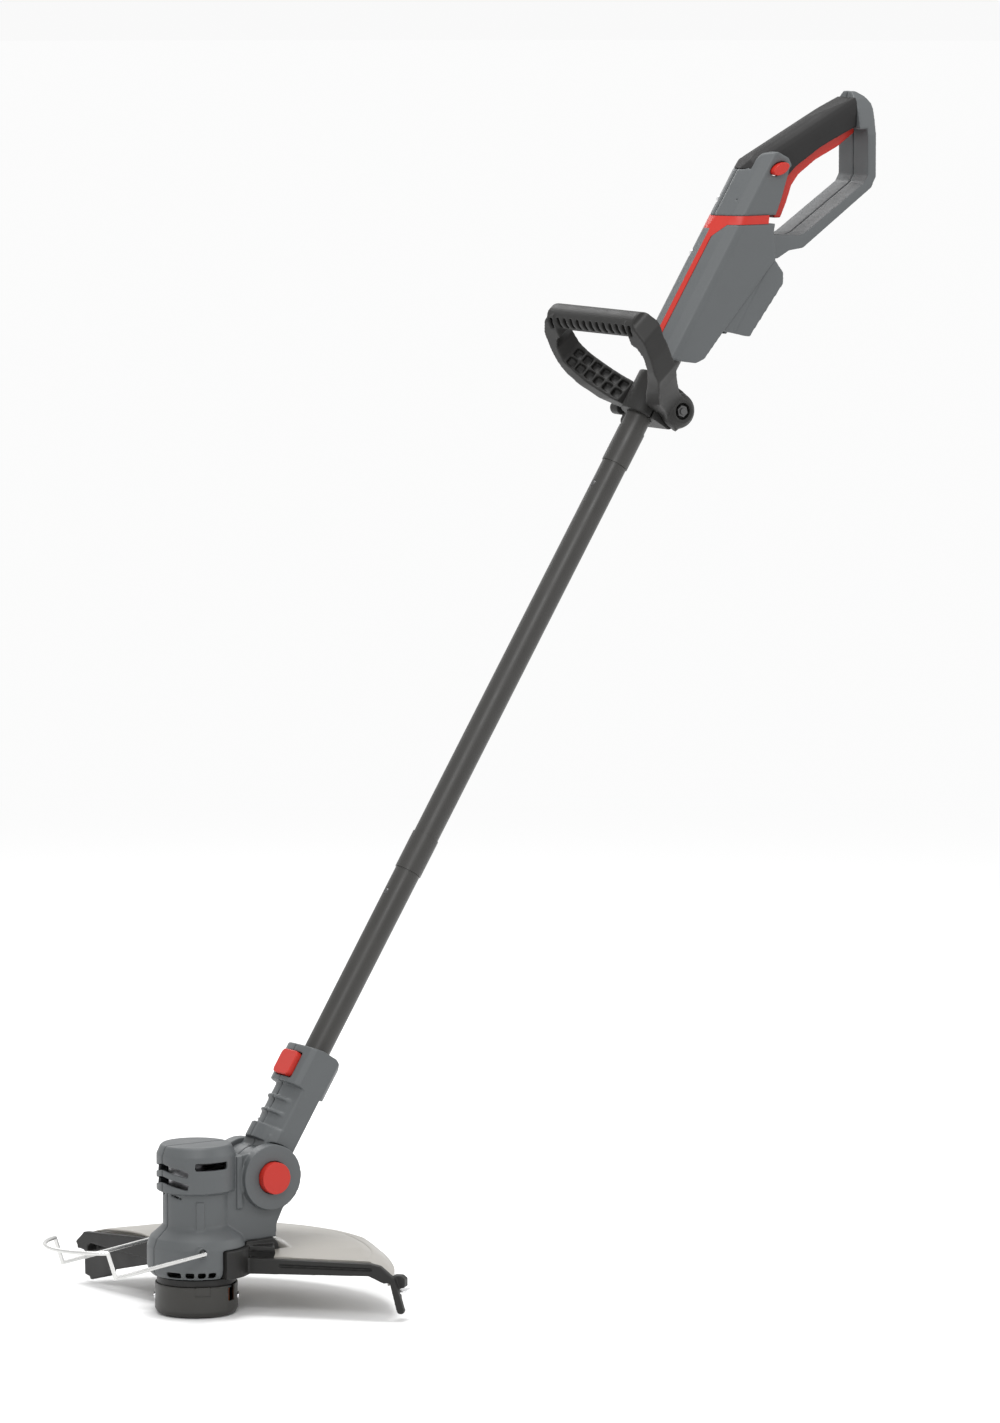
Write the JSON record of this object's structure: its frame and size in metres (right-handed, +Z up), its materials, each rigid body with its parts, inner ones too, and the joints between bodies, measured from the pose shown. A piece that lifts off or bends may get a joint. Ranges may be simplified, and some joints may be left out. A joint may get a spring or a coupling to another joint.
{
  "type": "string trimmer",
  "caption": "Cordless string trimmer: motor head with covered line spool, guard and plant guard wire, tilting joint, jointed shaft, front handle and rear grip.",
  "frame": {"origin": "centre of the underside of the spool cap, on the spindle axis", "axes": "+Z up along the spindle, +X to the rear towards the user, +Y to the right-hand side of the tool seen by the user behind it"},
  "size_m": [0.8904, 0.338, 1.0945],
  "materials": {
    "housing_gray": "satin moulded",
    "dark_gray": "satin moulded",
    "black_plastic": "satin moulded",
    "rubber": "fine matt",
    "red": "satin moulded",
    "tube": "satin black powder coat",
    "steel": "bright",
    "shield": "translucent smoke",
    "copper": "plain",
    "board": "plain",
    "line": "plain",
    "motor_can": "plain"
  },
  "bodies": {
    "shaft_and_rear": {"rear_housing_left": "housing_gray", "rear_housing_right": "housing_gray", "spine_cover": "housing_gray", "accent_band": "red", "grip_overmould": "rubber", "battery_bay": "housing_gray", "battery_terminals": "copper", "control_board": "board", "trigger_switch": "black_plastic", "switch_lever": "steel", "housing_screws": "steel", "trigger_pin": "steel", "shaft_upper": "tube", "shaft_middle": "tube", "shaft_lower": "tube", "joint_spigots": "dark_gray", "wire_harness": "black_plastic", "swivel_collar": "black_plastic", "clamp_front": "black_plastic", "clamp_rear": "black_plastic"},
    "trigger": {"trigger": "red"},
    "lock_off": {"lock_off_button": "red"},
    "snap_upper": {"snap_button_upper": "steel"},
    "snap_lower": {"snap_button_lower": "steel"},
    "handle": {"front_handle": "black_plastic", "handle_nut": "steel"},
    "knob": {"clamp_bolt": "steel", "clamp_knob": "black_plastic"},
    "coupling": {"coupling_left": "housing_gray", "coupling_right": "housing_gray", "coupling_screws": "steel", "edging_spring": "steel"},
    "edging_release": {"edging_button": "red"},
    "head": {"head_shell_left": "housing_gray", "head_shell_right": "housing_gray", "head_screws": "steel", "pivot_pin": "steel", "pivot_cap": "dark_gray", "tilt_spring": "steel", "motor": "motor_can", "motor_mount": "dark_gray", "motor_bearing": "steel", "guard_frame": "black_plastic", "guard_shield": "shield", "line_cutter": "steel", "guard_screws": "steel"},
    "tilt_release": {"tilt_button": "red"},
    "plant_guard": {"wire_guard": "steel"},
    "spool": {"motor_shaft": "steel", "cooling_fan": "black_plastic", "spool_hub": "black_plastic", "line_spool": "dark_gray", "cutting_line": "line", "bump_spring": "steel", "spool_cap": "black_plastic", "line_eyelets": "steel"}
  },
  "joints": [
    {"name": "trigger_hinge", "type": "hinge", "parent": "shaft_and_rear", "child": "trigger", "pos_m": [0.717, 0, 1.064], "axis": [0, 1, 0], "range_deg": [0, 5], "stiffness_Nm_per_rad": 0.4, "springref_deg": -6.88},
    {"name": "lock_off_slide", "type": "slide", "parent": "shaft_and_rear", "child": "lock_off", "axis": [0, 1, 0], "range_m": [0, 0.004], "stiffness_N_per_m": 300, "springref_m": -0.002},
    {"name": "snap_upper_slide", "type": "slide", "parent": "shaft_and_rear", "child": "snap_upper", "axis": [0.848, 0, -0.5299], "range_m": [0, 0.0025], "stiffness_N_per_m": 300, "springref_m": -0.002},
    {"name": "snap_lower_slide", "type": "slide", "parent": "shaft_and_rear", "child": "snap_lower", "axis": [0.848, 0, -0.5299], "range_m": [0, 0.0025], "stiffness_N_per_m": 300, "springref_m": -0.002},
    {"name": "handle_tilt", "type": "hinge", "parent": "shaft_and_rear", "child": "handle", "pos_m": [0.51184, 0, 0.80306], "axis": [0, 1, 0], "range_deg": [-40, 30]},
    {"name": "knob_turn", "type": "hinge", "parent": "handle", "child": "knob", "pos_m": [0.51184, 0, 0.80306], "axis": [0, 1, 0], "continuous": true},
    {"name": "edging_turn", "type": "hinge", "parent": "shaft_and_rear", "child": "coupling", "pos_m": [0.063, 0, 0.1225], "axis": [0.5299, 0, 0.848], "range_deg": [0, 180]},
    {"name": "edging_release_slide", "type": "slide", "parent": "coupling", "child": "edging_release", "axis": [0.848, 0, -0.5299], "range_m": [0, 0.002], "stiffness_N_per_m": 300, "springref_m": -0.002},
    {"name": "head_tilt", "type": "hinge", "parent": "coupling", "child": "head", "pos_m": [0.063, 0, 0.1225], "axis": [0, 1, 0], "range_deg": [-50, 15]},
    {"name": "tilt_release_slide", "type": "slide", "parent": "head", "child": "tilt_release", "axis": [0, 1, 0], "range_m": [0, 0.0035], "stiffness_N_per_m": 300, "springref_m": -0.002},
    {"name": "plant_guard_swing", "type": "hinge", "parent": "head", "child": "plant_guard", "pos_m": [-0.019, 0, 0.062], "axis": [0, 1, 0], "range_deg": [0, 90]},
    {"name": "spool_spin", "type": "hinge", "parent": "head", "child": "spool", "pos_m": [0, 0, 0.02], "axis": [0, 0, 1], "continuous": true}
  ]
}
